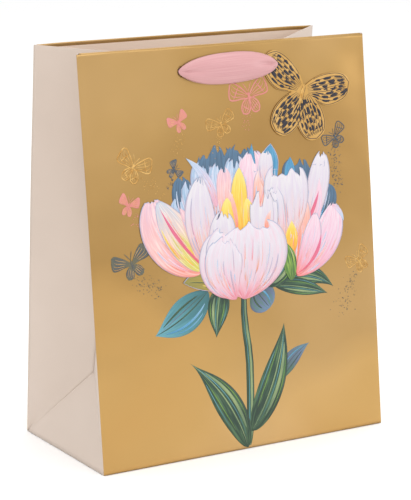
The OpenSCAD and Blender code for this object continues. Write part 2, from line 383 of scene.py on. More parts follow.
def punch(piece):
    """Punches the two handle holes through a front piece, square to its panel."""
    for x in (-hole_x, hole_x):
        select_only(piece)
        centre = Vector((x, hole.y, hole.z))
        turn = inward.to_track_quat("Z", "Y").to_euler()
        bpy.ops.mesh.primitive_cylinder_add(
            vertices=40, radius=hole_radius, depth=20 * mm, location=centre, rotation=turn
        )
        cutter = bpy.context.object
        finish_with(piece, "BOOLEAN", object=cutter, operation="DIFFERENCE", solver="EXACT")
        bpy.data.objects.remove(cutter)


half_turn = Matrix.Rotation(math.pi, 4, "Z")


def copy_of(piece, name, change=half_turn):
    """A copy of a piece, moved by a matrix. The back of the bag is its front, turned half round."""
    select_only(piece)
    bpy.ops.object.duplicate()
    copy = bpy.context.object
    copy.name = name
    copy.data.transform(change)
    return copy


def hand_over(piece, body, nodes):
    """Gives a finished piece its body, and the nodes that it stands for."""
    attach(piece, body)
    if nodes:
        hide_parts(*nodes)


def both_walls(piece, parts):
    """Hands a front piece and its copy at the back to their walls. parts are what they stand for."""
    twin = copy_of(piece, piece.name.replace("front", "back"))
    hand_over(piece, "front_wall", ["front_" + part for part in parts])
    hand_over(twin, "back_wall", ["back_" + part for part in parts])


foil = sheet_of("front_foil_panel", foil_columns, panel_rows, wrapped, -inward, (gold_foil, inner_paper))
thicken(foil, paper, material_offset=1)
punch(foil)
both_walls(foil, ["panel"])


# ---- Turned-in hems and their boards ----
# At the mouth each panel folds over a strip of grey board and is glued down inside. The foil carries on
# over the fold for two millimetres, so a thin gold line shows inside the mouth.

board_thickness = 1.0 * mm
hem_drop = 40 * mm
gold_lip = 2.2 * mm
hem_side = half_width - 2.4 * mm
hem_arc = math.pi * mouth_roll


def hem_point(u, t):
    """A point of the hem paper, at t along its section from the outer edge of the mouth."""
    if t <= hem_arc:
        turn = t / mouth_roll
        depth = mouth_roll * (1 - math.cos(turn))
        drop = mouth_roll * (1 - math.sin(turn))
    else:
        depth = 2 * mouth_roll
        drop = mouth_roll + t - hem_arc
    return on_panel(u, slope_height - drop, -depth)


gold_end = hem_arc + gold_lip
hem_rows = steps(0, hem_arc, 8) + steps(hem_arc, gold_end, 2)[1:]
hem_rows += steps(gold_end, hem_arc + hem_drop, 24)[1:]
front_hem = sheet_of(
    "front_hem_paper", steps(-hem_side, hem_side, 96), hem_rows, hem_point, inward, (gold_foil, inner_paper)
)
for face in front_hem.data.polygons:
    inside = (face.center - on_panel(face.center.x, (face.center - crease).dot(up))).dot(inward)
    below_lip = (face.center - crease).dot(up) < slope_height - mouth_roll - gold_lip
    face.material_index = 1 if below_lip and inside > mouth_roll else 0
thicken(front_hem, paper)
punch(front_hem)

# Grey board: recycled fibre pressed in a web, with darker and lighter specks 0.5 mm across
grey_board, shader = new_material("grey_recycled_board", {"Roughness": 0.9})
speck = cloud_at(grey_board, texture_place(grey_board), 2000.0, 3.0)
tone = ramp_at(grey_board, speck, [(0.3, "#8F8A81"), (0.5, "#A9A49B"), (0.72, "#B9B4AA")])
cover(shader, tone, bump_of(grey_board, speck, 0.3))

board_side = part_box("front_hem_board")[1].x
board_foot = (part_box("front_hem_board")[0].z - crease.z) / up.z
board_top = slope_height - 0.6 * mm
glue_line = 0.35 * mm


def glued_inside(x, s):
    """A point on what is glued to the inner side of a panel."""
    return on_panel(x, s, -glue_line)


front_board = sheet_of(
    "front_hem_strip", steps(-board_side, board_side, 80), steps(board_foot, board_top, 20),
    glued_inside, -inward, (grey_board,),
)
thicken(front_board, board_thickness)
punch(front_board)
both_walls(front_hem, ["hem"])
both_walls(front_board, ["hem_board"])


# ---- Side gussets, their feet and the glued seam ----
# The sides are the same paper, creased down the middle and along two diagonals, and folded inwards. The
# lower triangle tips in from the base. The paper is turned in at the mouth as it is on the panels.

mouth_half = -(crease + slope_height * up).y
crease_end = Vector((half_depth - half_depth * up.y, half_depth * up.z))
foot_tip = math.acos(crease_end.length_squared / (2 * crease_end.y * half_depth))
apex = half_depth * Vector((math.sin(foot_tip), math.cos(foot_tip)))
upper_crease = slope_height - half_depth
to_mouth = Vector((-apex.x, slope_height * up.z - apex.y))
along = upper_crease**2 - half_depth**2 + mouth_half**2 + to_mouth.length_squared
along = along / (2 * to_mouth.length)
aside = math.sqrt(upper_crease**2 - along**2)
crease_top = apex + (along * to_mouth + aside * Vector((to_mouth.y, -to_mouth.x))) / to_mouth.length
turn_in = 0.35 * mm


def gusset_line(side, s):
    """The ends of a front gusset half at the height s of its panel: beside the panel, and inside."""
    outer = wrapped(side * half_width * 2, max(s, panel_foot))
    if s < half_depth:
        low = wrapped(side * half_width * 2, panel_foot)
        tip = Vector((side * (half_width - apex.x), 0, apex.y))
        return outer, low.lerp(tip, s / half_depth)
    middle = apex + (s - half_depth) / upper_crease * (crease_top - apex)
    return outer, Vector((side * (half_width - middle.x), 0, middle.y))


def into_bag(side):
    """The way from a front gusset half's paper into the bag, level."""
    outer, middle = gusset_line(side, slope_height)
    across = middle - outer
    return Vector((-side * across.y, side * across.x, 0))


def gusset_point(side, v, row):
    """A point of a front gusset half, v across it, on a row given as (height, share turned in)."""
    s, depth = row
    outer, middle = gusset_line(side, s)
    slack = 0.8 * noise.noise(Vector((v * 2, s * 12, 7.5 + side)))
    give = mm * math.sin(math.pi * v) * (slack + 0.5 * math.exp(-abs(s - half_depth) / (5 * mm)))
    return outer.lerp(middle, v) + (give + depth) * into_bag(side).normalized()


roll_rows = []
for turn in steps(0, math.pi, 6)[1:]:
    roll_rows.append((slope_height - turn_in + turn_in * math.sin(turn), turn_in * (1 - math.cos(turn))))
wall_rows = [(s, 0.0) for s in steps(0, half_depth, 14) + steps(half_depth, slope_height - turn_in, 60)[1:]]
turned_rows = [(s, 2 * turn_in) for s in steps(slope_height - turn_in, slope_height - hem_drop, 12)[1:]]
tuck = 2.5 * mm


def foot_point(u, w):
    """A point of the left foot triangle, u from its front edge to its rear, w from the base to its tip.
    Past each slanting edge it tucks behind the gusset half beside it."""
    outer, low = gusset_line(-1, w * half_depth)
    if 0 <= u <= 1:
        front = low.copy()
        rear = Vector((low.x, -low.y, low.z))
        return front.lerp(rear, u)
    reach = min(tuck, 0.3 * (outer - low).length)
    behind = 0.4 * mm * min(reach / tuck, 1) * into_bag(-1).normalized()
    point = low + (outer - low).normalized() * reach + behind
    return Vector((point.x, point.y if u < 0 else -point.y, point.z))


def clean(piece):
    """Merges what coincides, as at a tip."""
    select_only(piece)
    bpy.ops.object.mode_set(mode="EDIT")
    bpy.ops.mesh.select_all(action="SELECT")
    bpy.ops.mesh.remove_doubles(threshold=2e-7)
    bpy.ops.object.mode_set(mode="OBJECT")


for side, name, opposite in ((-1, "left", "right"), (1, "right", "left")):
    half = sheet_of(
        name + "_gusset_front_paper", steps(0, 1, 24), wall_rows + roll_rows + turned_rows,
        lambda v, row: gusset_point(side, v, row), -into_bag(side), (blush_paper, inner_paper),
    )
    clean(half)
    thicken(half, paper, material_offset=1)
    twin = copy_of(half, opposite + "_gusset_rear_paper")
    for piece, part, wall, sign in ((half, name + "_gusset_front", "front_wall", 1),
                                    (twin, opposite + "_gusset_rear", "back_wall", -1)):
        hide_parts(part, part + "_hem")
        start = Vector((0, sign * crease.y, 0))
        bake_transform(piece)

left_foot = sheet_of(
    "left_gusset_foot_paper", [-0.01] + steps(0, 1, 24) + [1.01], steps(0, 1, 16), foot_point,
    (-1, 0, 0), (blush_paper,),
)
clean(left_foot)
thicken(left_foot, paper)
right_foot = copy_of(left_foot, "right_gusset_foot_paper")
hand_over(left_foot, "base", ["left_gusset_foot"])
hand_over(right_foot, "base", ["right_gusset_foot"])

# The seam flap is glued inside the back panel. It is laid on the front panel, then turned to the back
seam_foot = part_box("back_seam_flap")[0].z / up.z
seam_gap = 0.4 * mm
seam_side = half_width - seam_gap
seam_width = 16 * mm
seam = sheet_of(
    "seam_flap_paper", steps(seam_side - seam_width, seam_side, 8),
    steps(seam_foot, slope_height - hem_drop - seam_gap, 60), glued_inside, inward, (blush_paper,),
)
thicken(seam, paper, 1)
seam.data.transform(half_turn)
hand_over(seam, "back_wall", ["back_seam_flap"])


# ---- Bottom flaps and base card ----
# Four flaps fold over each other under the bag and are glued. A loose grey card lies on them.

for node in ("bottom_rear_flap", "bottom_front_flap", "bottom_left_flap", "bottom_right_flap"):
    frame["nodes"][node].material_slots[0].material = blush_paper
frame["nodes"]["base_card"].material_slots[0].material = grey_board


# ---- Printed flower ----
# A cut peony is printed over the foil in opaque inks, on the front and on the back. Each petal and leaf
# is its own layer of ink, modelled flat in the panel's plane and then laid on its paper.

stroke_step = 0.0005 * mm
clear_step = 0.003 * mm
ink_thickness = 0.002 * mm
first_layer = 0.02 * mm
ink_layer = first_layer
prints = []


def ink(name, stops, streak, streaks=24, share=0.55):
    """Offset ink in brush strokes: a ramp from a shape's base to its tip, with streaks along it."""
    material, shader = new_material(name, {"Roughness": 0.38})
    uv = texture_place(material, "UV")
    links = {0: texture_place(material), 1: (45, 45, 45)}
    vary = add_node(material, "VectorMath", "Vector", links, operation="MULTIPLY")
    wash = cloud_at(material, mapped(material, uv, (streaks * 0.4, 1.3, 1), Location=vary), 1.0, 2.0)
    hairs = cloud_at(material, mapped(material, uv, (streaks, 2.1, 1), Location=vary), 1.0, 4.0)
    along = add_node(material, "SeparateXYZ", "Y", {"Vector": uv})
    blurred = worked_out(material, "MULTIPLY_ADD", wash, 0.55, along)
    body = ramp_at(material, worked_out(material, "SUBTRACT", blurred, 0.275), stops)
    deep = add_node(material, "HueSaturation", "Color", {"Value": 0.84, "Color": body})
    mask = spread_out(material, hairs, 0.46, 0.66, share)
    cover(shader, mixed_colour(material, mask, deep, linear(streak)))
    return material


slate_ink = ink("slate_blue_ink", [(0, "#527C9A"), (0.5, "#475F76"), (1, "#577996")], "#35475A")
sky_ink = ink("sky_blue_ink", [(0, "#8DB6D4"), (0.5, "#4D96C0"), (1, "#3F86B0")], "#7FB9D6")
lilac_ink = ink(
    "lilac_ink", [(0, "#E49FB0"), (0.35, "#D3BFD6"), (0.7, "#B9C8E0"), (1, "#9CBBD8")], "#EDE6EE"
)
white_ink = ink(
    "white_petal_ink",
    [(0, "#EC8458"), (0.22, "#EFA887"), (0.46, "#E6CDD0"), (0.72, "#DDD6DF"), (1, "#E6E2E5")],
    "#C9BAD0", 30,
)
cup_ink = ink(
    "cup_petal_ink",
    [(0, "#E0808F"), (0.12, "#E8A3AE"), (0.34, "#E5C6D0"), (0.65, "#DED6DF"), (1, "#E6E0E8")],
    "#DCB9C6", 40, 0.6,
)
pink_ink = ink(
    "pink_petal_ink", [(0, "#EF8D7B"), (0.3, "#F0A49C"), (0.65, "#EFB9B9"), (1, "#E3BCCB")], "#F7DCD6"
)
rose_ink = ink(
    "rose_petal_ink", [(0, "#EF7D62"), (0.22, "#EDA9B4"), (0.6, "#EBCBDA"), (1, "#F0DCE4")], "#D992B0"
)
coral_ink = ink(
    "coral_ink", [(0, "#EE6A43"), (0.4, "#F08E77"), (0.75, "#F2B9AC"), (1, "#EFE1E4")], "#F5CFC4"
)
yellow_ink = ink(
    "yellow_ink", [(0, "#F08C32"), (0.3, "#F5AE2E"), (0.7, "#F3C94A"), (1, "#F1DE86")], "#F8DE7C"
)
lime_ink = ink(
    "lime_petal_ink", [(0, "#D2CC45"), (0.35, "#DBCB72"), (0.6, "#E6C9BE"), (1, "#BFCBDC")], "#EFDCCB"
)
olive_ink = ink("olive_ink", [(0, "#EE9240"), (0.35, "#B59A38"), (1, "#847F45")], "#A9A04A")
crimson_ink = ink("crimson_ink", [(0, "#DC5A62"), (1, "#D9668F")], "#E88BA4")
teal_ink = ink("teal_leaf_ink", [(0, "#35666A"), (0.4, "#4C8890"), (1, "#6DAEBC")], "#356A74", 16)
leaf_ink = ink("dark_leaf_ink", [(0, "#20382B"), (0.5, "#294837"), (1, "#213D36")], "#5C8058", 9, 0.6)
vein_ink = ink("leaf_vein_ink", [(0, "#54745A"), (0.5, "#8FA36E"), (1, "#628568")], "#ABB886", 6)
bright_ink = ink("bright_leaf_ink", [(0, "#3F6432"), (0.5, "#5D8A38"), (1, "#3A6836")], "#93B050", 12, 0.8)
plum_ink = ink("plum_leaf_ink", [(0, "#3F6148"), (0.5, "#5E6A84"), (1, "#6F86A6")], "#4C7A55", 12)


def petal_shape(base, tip, half, widest, bend, foot, blunt, ragged=0.0, grow=0.0):
    """A petal or leaf in millimetres, as a function of a across it (-1 to 1) and t along it (0 to 1).
    foot and blunt are how its base and tip close: 0.3 is broad, 0.6 round and 1.4 drawn out to a point.
    ragged tears its tip, and grow widens and lengthens it."""
    start, end = Vector(base), Vector(tip)
    way = (end - start) * (1 + grow / (end - start).length)
    half = half + grow
    side = Vector((way.y, -way.x))
    power = math.log(0.5) / math.log(widest)

    def shape(a, t):
        jag = 0.45 + 1.3 * noise.noise(Vector((a * 2.6, start.x, end.y)))
        jag += 0.7 * noise.noise(Vector((a * 6.1, end.x, 0.3)))
        reach = t * (1 - (0.02 if ragged else 0) - ragged * min(max(jag, 0), 1))
        centre = start + reach * way + 4 * bend * reach * (1 - reach) * side
        slope = way + 4 * bend * (1 - 2 * reach) * side
        level = max(1 - (2 * reach**power - 1) ** 2, 0)
        width = half * level ** (foot + (blunt - foot) * reach)
        return centre + a * width * Vector((slope.y, -slope.x)).normalized()

    return shape


def next_layer(step):
    """The height of the next layer of ink above the foil."""
    global ink_layer
    ink_layer += step
    return ink_layer


def printed_petal(shape, material, columns, rows):
    """Prints a filled petal shape as the next layer."""
    height = next_layer(clear_step)
    prints.append(sheet_of(
        "ink", steps(-1, 1, columns), steps(0, 1, rows),
        lambda a, t: (shape(a, t) * mm).to_3d() + Vector((0, 0, height)), (0, 0, 1), (material,),
    ))
    next_layer(0.4 * clear_step)


def printed_stroke(points, width, material, lift=0.0, taper=0.25):
    """Prints a line through points, of a width in millimetres and thin at its ends. lift raises it."""
    height = next_layer(stroke_step)
    path = [Vector(p) for p in points]
    while (path[1] - path[0]).length > 2.6:
        halves = [[p, p.lerp(q, 0.5)] for p, q in zip(path, path[1:])]
        path = [p for pair in halves for p in pair] + path[-1:]
    last = len(path) - 1

    def place(a, i):
        way = path[min(i + 1, last)] - path[max(i - 1, 0)]
        thin = taper + (1 - taper) * math.sin(math.pi * i / last) ** 0.5
        flat = (path[i] + a * width / 2 * thin * Vector((way.y, -way.x)).normalized()) * mm
        return flat.to_3d() + Vector((0, 0, height + lift * thin * (1 - a * a)))

    across = (-1, 0, 1) if lift else (-1, 1)
    prints.append(sheet_of("ink", across, range(last + 1), place, (0, 0, 1), (material,)))


def line_in(shape, a, start, stop, count=14, sway=0.0):
    """Points along a petal shape, a across it, from start to stop. sway bows the line."""
    return [shape(a + sway * math.sin(math.pi * t), t) for t in steps(start, stop, count)]


# Leaves and stem behind the flower
shade_ink = ink("petal_shade_ink", [(0, "#C98F9C"), (0.5, "#C3A9BE"), (1, "#A9B4CE")], "#D7C5D6")
stem_points = [
    (3, 128), (2.5, 112), (3.5, 97), (5.2, 84), (6, 70), (5.6, 56),
    (5, 42), (4, 28), (3, 16), (1.5, 8), (0.5, 3),
]
for shift, width, material in ((0, 7.2, leaf_ink), (1.3, 2.0, vein_ink), (-0.8, 0.8, teal_ink)):
    printed_stroke([(x + shift, s) for x, s in stem_points], width, material, taper=0.6)
    next_layer(clear_step)
leaves = [
    ((33, 52), (64, 79), 7.0, 0.42, -0.08, 1.3, plum_ink),
    ((4, 14), (40, 99), 12.0, 0.4, 0.07, 1.25, leaf_ink),
    ((0, 1), (-50, 78), 12.0, 0.4, 0.08, 1.8, leaf_ink),
    ((-30, 134), (-80, 104), 14.5, 0.45, -0.06, 1.2, teal_ink),
    ((-18, 134), (-24, 95), 10.0, 0.34, 0.02, 1.3, leaf_ink),
    ((12, 132), (27, 113), 13.0, 0.55, 0.0, 0.5, plum_ink),
    ((30, 132), (90, 123), 8.0, 0.5, -0.16, 1.3, leaf_ink),
    ((32, 131), (84, 118), 7.0, 0.45, -0.04, 1.3, leaf_ink),
    ((22, 132), (50, 163), 12.0, 0.5, 0.1, 0.7, leaf_ink),
]
# Vein and brush lines along a leaf: where across it, width, share of its length, ink
leaf_lines = {
    leaf_ink: [(0.5, 2.6, 0.66, vein_ink), (0.25, 0.7, 0.8, teal_ink), (0.78, 0.8, 0.5, bright_ink),
               (-0.5, 0.9, 0.6, bright_ink), (-0.75, 0.7, 0.5, teal_ink), (0.03, 0.9, 0.95, vein_ink)],
    teal_ink: [(0.5, 1.4, 0.7, leaf_ink), (-0.5, 1.6, 0.7, sky_ink), (-0.75, 0.8, 0.5, sky_ink),
               (0.25, 0.7, 0.8, plum_ink), (0.0, 0.9, 0.95, leaf_ink)],
    plum_ink: [(0.5, 1.4, 0.6, leaf_ink), (-0.4, 1.2, 0.7, sky_ink), (0.0, 0.7, 0.9, leaf_ink)],
}
for base, tip, half, widest, bend, blunt, material in leaves:
    leaf = petal_shape(base, tip, half, widest, bend, 0.85, blunt)
    printed_petal(leaf, material, 12, 38)
    next_layer(clear_step)
    for a, width, reach, tint in leaf_lines[material]:
        vein = line_in(leaf, a, 0.5 - reach / 2, 0.5 + reach / 2)
        printed_stroke(vein, width * half / 11, tint, taper=0.1)

# Petals from the back of the flower to the front: base, tip, half width, widest, bend, blunt, ragged, ink
petals = [
    ((-25, 180), (-15, 251), 18, 0.72, 0.03, 0.5, 0.12, slate_ink),
    ((0, 185), (7, 250), 16, 0.78, 0.0, 0.45, 0.12, slate_ink),
    ((-40, 170), (-49, 229), 10, 0.7, -0.03, 0.7, 0.05, slate_ink),
    ((22, 212), (18, 248), 3.2, 0.5, -0.06, 1.1, 0.0, sky_ink),
    ((42, 190), (36, 246), 8, 0.72, -0.08, 1.1, 0.0, sky_ink),
    ((48, 185), (62, 233), 15, 0.75, 0.05, 0.4, 0.12, slate_ink),
    ((50, 190), (54, 234), 5, 0.7, 0.0, 1.2, 0.0, sky_ink),
    ((66, 160), (90, 209), 11, 0.72, 0.06, 0.6, 0.0, slate_ink),
    ((-30, 160), (-52, 212), 13, 0.72, -0.05, 0.45, 0.14, lilac_ink),
    ((-34, 152), (-46, 199), 8, 0.6, -0.08, 0.7, 0.1, olive_ink),
    ((-24, 165), (-42, 226), 9, 0.75, -0.04, 0.6, 0.1, lilac_ink),
    ((-18, 172), (-27, 239), 13, 0.75, -0.04, 0.4, 0.14, lilac_ink),
    ((-8, 170), (-12, 237), 12, 0.78, 0.0, 0.4, 0.12, lilac_ink),
    ((4, 170), (2, 240), 12, 0.75, 0.02, 0.45, 0.1, lilac_ink),
    ((-12, 178), (-9, 233), 7, 0.7, 0.0, 0.6, 0.08, pink_ink),
    ((6, 172), (17, 243), 13, 0.72, 0.05, 0.5, 0.1, rose_ink),
    ((14, 178), (30, 230), 9, 0.7, 0.04, 0.6, 0.08, coral_ink),
    ((32, 205), (32, 242), 7, 0.62, -0.06, 0.6, 0.1, white_ink),
    ((-18, 200), (-44, 242), 4.2, 0.45, 0.1, 1.2, 0.0, lilac_ink),
    ((4, 168), (5, 230), 7.5, 0.6, -0.02, 0.9, 0.0, yellow_ink),
    ((2, 168), (-8, 207), 7, 0.6, -0.08, 0.9, 0.0, yellow_ink),
    ((6, 166), (10, 205), 6, 0.6, 0.08, 0.9, 0.0, yellow_ink),
    ((0, 180), (-6, 214), 2.0, 0.5, 0.04, 1.1, 0.0, coral_ink),
    ((58, 158), (85, 237), 10, 0.66, 0.05, 0.7, 0.04, white_ink),
    ((60, 158), (81, 214), 4.5, 0.5, 0.09, 1.0, 0.0, rose_ink),
    ((64, 176), (80, 204), 1.6, 0.5, 0.05, 1.2, 0.0, crimson_ink),
    ((52, 140), (60, 206), 13, 0.6, 0.0, 0.6, 0.05, coral_ink),
    ((51, 156), (49, 229), 21, 0.7, -0.02, 0.32, 0.12, white_ink),
    ((44, 158), (38, 212), 8, 0.62, -0.05, 0.5, 0.1, white_ink),
    ((50, 156), (52, 182), 6, 0.4, 0.0, 1.1, 0.0, yellow_ink),
    ((54, 136), (94, 194), 13, 0.6, 0.14, 0.8, 0.03, rose_ink),
    ((54, 137), (75, 187), 8.5, 0.55, 0.08, 0.9, 0.03, rose_ink),
    ((55, 138), (80, 168), 1.6, 0.6, 0.14, 1.2, 0.0, crimson_ink),
    ((92, 191), (103, 176), 2.0, 0.4, -0.12, 1.2, 0.0, lilac_ink),
    ((49, 133), (45, 165), 6.5, 0.5, 0.03, 1.1, 0.0, bright_ink),
    ((-2, 130), (-52, 143), 8, 0.55, 0.1, 0.9, 0.0, olive_ink),
    ((-34, 150), (-77, 213), 18, 0.55, -0.13, 0.55, 0.02, pink_ink),
    ((-33, 152), (-72, 211), 13, 0.45, -0.02, 0.8, 0.02, lime_ink),
    ((-32, 152), (-52, 203), 7, 0.45, 0.06, 0.9, 0.0, pink_ink),
    ((-32, 153), (-70, 205), 1.5, 0.5, -0.05, 1.2, 0.0, crimson_ink),
    ((-24, 152), (-31, 228), 13.5, 0.5, -0.08, 0.9, 0.07, white_ink),
    ((-20, 152), (-13, 197), 12, 0.55, 0.04, 0.6, 0.1, white_ink),
    ((22, 145), (26, 210), 13, 0.7, 0.02, 0.32, 0.14, white_ink),
    ((28, 172), (33, 193), 2.4, 0.5, -0.1, 1.1, 0.0, coral_ink),
    ((-8, 126), (-14, 178), 18, 0.58, -0.14, 0.42, 0.1, cup_ink),
    ((3, 123), (9, 187), 38, 0.6, 0.02, 0.3, 0.12, cup_ink),
    ((-4, 124), (-8, 176), 17, 0.6, -0.16, 0.5, 0.14, cup_ink),
]
# Brush marks on a petal take these inks. A darker rim parts a wide petal from what is behind it
cool_marks = (sky_ink, plum_ink, lilac_ink, sky_ink)
pale_marks = (white_ink, lilac_ink, rose_ink, shade_ink, white_ink, pink_ink)
warm_marks = (rose_ink, white_ink, coral_ink, lilac_ink, pink_ink)
gold_marks = (coral_ink, lime_ink, yellow_ink)
marks = {
    slate_ink: cool_marks, sky_ink: cool_marks, lilac_ink: pale_marks + (sky_ink,), white_ink: pale_marks,
    cup_ink: pale_marks, pink_ink: warm_marks, rose_ink: warm_marks, coral_ink: warm_marks,
    yellow_ink: gold_marks, lime_ink: gold_marks, olive_ink: (leaf_ink, yellow_ink, coral_ink),
    crimson_ink: (rose_ink,), bright_ink: (lime_ink, leaf_ink),
}
rim_width = 0.6
strokes = random.Random(8)
for base, tip, half, widest, bend, blunt, ragged, material in petals:
    outline = (base, tip, half, widest, bend, 0.55, blunt, ragged * 1.4)
    columns = 20 if half > 10 else 12
    if half > 7 and material is not slate_ink:
        printed_petal(petal_shape(*outline, rim_width), shade_ink, columns, 30)
    petal = petal_shape(*outline)
    printed_petal(petal, material, columns, 30)
    for k in range(round(half * 1.1) if half > 4 else 1):
        a = strokes.uniform(-0.9, 0.9)
        start = strokes.uniform(0.04, 0.5)
        stop = min(start + strokes.uniform(0.15, 0.45), 0.95)
        brush = line_in(petal, a, start, stop, 10, strokes.uniform(-0.1, 0.1))
        width = strokes.uniform(0.4, 1.5) * min(half / 10, 1)
        printed_stroke(brush, width, strokes.choice(marks[material]), taper=0.1)


def lay_prints(name, place):
    """Joins the flat prints into one piece, gives the ink its thickness and lays it by place."""
    select_only(*prints)
    bpy.ops.object.join()
    piece = bpy.context.object
    piece.name = name
    prints.clear()
    clean(piece)
    thicken(piece, ink_thickness)
    for vertex in piece.data.vertices:
        vertex.co = place(*vertex.co)
    return piece


both_walls(lay_prints("front_printed_flower", on_panel), [])


# ---- Small butterflies and dots ----
# Butterflies flutter round the flower, some printed and some blind embossed in the foil, each with a
# trail of dots. Their wings are drawn like petals, with veins fanning from the body.

ink_layer = first_layer
pink_line = ink("pink_line_ink", [(0, "#D9857B"), (1, "#DF8F86")], "#CF7A70")
slate_line = ink("slate_line_ink", [(0, "#4A5058"), (1, "#566068")], "#3C434C")
moss_line = ink("moss_line_ink", [(0, "#6B6548"), (0.6, "#4A5058"), (1, "#5C5E50")], "#7C7450")
# Embossed foil catches a lighter and a darker edge, and is a little smoother where it is pressed
pressed_foil, shader = new_material("pressed_gold_foil", {"Roughness": 0.3, "Metallic": 0.75})
cloud = cloud_at(pressed_foil, texture_place(pressed_foil), 260.0, 2.0)
cover(shader, ramp_at(pressed_foil, cloud, [(0.35, "#B98A48"), (0.6, "#D3AA66"), (0.75, "#DDB878")]))

# A wing of length 1: its leading and trailing edges, from the body out to its tip
fore_wing = (
    [(0, 0.04), (0.35, 0.13), (0.7, 0.17), (0.92, 0.15), (1, 0.04)],
    [(0, -0.04), (0.3, -0.2), (0.58, -0.4), (0.78, -0.45), (0.92, -0.24), (1, 0.04)],
)
hind_wing = (
    [(0, 0.06), (0.3, 0.22), (0.6, 0.26), (0.86, 0.16), (1, -0.04)],
    [(0, -0.06), (0.25, -0.2), (0.52, -0.34), (0.76, -0.36), (0.93, -0.22), (1, -0.04)],
)


def edge_at(points, t):
    """The height of a wing's edge at t along the wing, on a smooth curve through its points."""
    i = max(k for k in range(len(points) - 1) if points[k][0] <= t or k == 0)
    (x0, y0), (x1, y1) = points[i : i + 2]
    before, after = points[max(i - 1, 0)], points[min(i + 2, len(points) - 1)]
    step = x1 - x0
    m0 = (y1 - before[1]) / (x1 - before[0]) * step
    m1 = (after[1] - y0) / (after[0] - x0) * step
    u = (t - x0) / step
    return (
        (2 * u**3 - 3 * u**2 + 1) * y0 + (u**3 - 2 * u**2 + u) * m0
        + (3 * u**2 - 2 * u**3) * y1 + (u**3 - u**2) * m1
    )


def wing_shape(edges, centre, length, angle, side, turn, fold=1.0, inset=1.0):
    """A wing as a function of a across it and t along it. side mirrors it, fold narrows the pair, and
    inset draws its edges in."""
    lead, trail = edges

    def shape(a, t):
        middle = (edge_at(lead, t) + edge_at(trail, t)) / 2
        half = (edge_at(lead, t) - edge_at(trail, t)) / 2 * inset
        flat = Matrix.Rotation(math.radians(angle), 2) @ Vector((t, middle + a * half * side)) * length
        flat = Vector((side * flat.x * fold, flat.y))
        return Vector(centre) + Matrix.Rotation(math.radians(turn), 2) @ flat

    return shape


def filled_wing(wing, span, material):
    """Prints a whole wing, with four veins of foil."""
    printed_petal(wing, material, 8, 14)
    for a in (-0.55, -0.1, 0.35, 0.75):
        printed_stroke(line_in(wing, a, 0.3, 0.82, 6), 0.012 * span, pressed_foil)


def outlined_wing(wing, span, material):
    """Prints a wing in outline, raised where it is embossed."""
    lift = 0.12 * mm if material is pressed_foil else 0.0
    rim = line_in(wing, -1, 0.02, 0.999) + line_in(wing, 1, 0.999, 0.02)[1:]
    printed_stroke(rim, 0.035 * span, material, lift, taper=0.8)
    for a in (-0.5, 0, 0.5):
        printed_stroke(line_in(wing, a, 0.12, 0.9, 8), 0.022 * span, material, lift)
    printed_stroke([wing(a, 0.62) for a in steps(-0.9, 0.9, 8)], 0.03 * span, material, lift)


def butterfly(x, s, span, turn, print_wing, material, fold=1.0):
    """Prints one butterfly at (x, s) in millimetres, turned in degrees."""
    for side in (-1, 1):
        for edges, share, angle in ((hind_wing, 0.4, -52), (fore_wing, 0.62, 36)):
            wing = wing_shape(edges, (x, s), span * share, angle, side, turn, fold)
            print_wing(wing, span, material)
    heading = Matrix.Rotation(math.radians(turn), 2)
    body = [Vector((x, s)) + heading @ Vector((0, span * t)) for t in (0.14, 0.08, 0, -0.1, -0.2)]
    printed_stroke(body, 0.07 * span, material)
    for side in (-1, 1):
        bow = [Vector((side * span * t * 0.5, span * (0.13 + t))) for t in steps(0, 0.22, 5)]
        printed_stroke([Vector((x, s)) + heading @ point for point in bow], 0.02 * span, material)


def dots(x, s, to_x, to_s, spread, count, material, seed):
    """Prints a trail of small dots from one place to another, in millimetres."""
    draw = random.Random(seed)
    height = next_layer(stroke_step)
    bpy.ops.mesh.primitive_circle_add(
        vertices=8, radius=0.4 * mm, fill_type="NGON", location=(x * mm, s * mm, height)
    )
    trail = bpy.context.object
    bpy.ops.object.transform_apply(location=True)
    bpy.ops.object.mode_set(mode="EDIT")
    for i in range(count):
        t = (i + draw.random()) / count
        place = (x + (to_x - x) * t + draw.gauss(0, spread), s + (to_s - s) * t + draw.gauss(0, spread))
        bpy.ops.mesh.primitive_circle_add(
            vertices=7, radius=draw.uniform(0.22, 0.48) * mm, fill_type="NGON",
            location=(place[0] * mm, place[1] * mm, height),
        )
    bpy.ops.object.mode_set(mode="OBJECT")
    trail.data.materials.append(material)
    prints.append(trail)


butterfly(18, 285, 36, 8, outlined_wing, pink_line, 0.9)
butterfly(-9, 265, 24, 20, outlined_wing, pressed_foil)
butterfly(-91, 238, 31, -25, outlined_wing, pressed_foil, 0.9)
butterfly(117, 141, 26, 30, outlined_wing, pressed_foil, 0.8)
butterfly(-48, 270, 21, 25, filled_wing, pink_line, 0.8)
butterfly(-97, 209, 22, -20, filled_wing, pink_line, 0.75)
butterfly(-55, 233, 17, -60, filled_wing, slate_line, 0.8)
butterfly(-97, 163, 31, 18, filled_wing, moss_line)
butterfly(99, 246, 22, 35, outlined_wing, slate_line)
# Trails of dots: from, to, spread, how many, ink
trails = [
    (16, 272, 14, 262, 2.0, 26, pink_line),
    (-46, 262, -52, 244, 3.0, 40, pressed_foil),
    (-84, 230, -70, 215, 4.0, 60, pressed_foil),
    (-92, 200, -86, 190, 3.0, 30, pink_line),
    (-56, 226, -62, 219, 1.5, 18, slate_line),
    (-92, 150, -72, 140, 4.0, 80, moss_line),
    (97, 238, 99, 204, 3.2, 100, slate_line),
    (112, 130, 96, 102, 4.0, 80, moss_line),
    (-12, 254, -18, 244, 3.0, 26, pressed_foil),
]
for seed, trail in enumerate(trails, 1):
    dots(*trail, seed)
both_walls(lay_prints("front_printed_butterflies", on_panel), [])
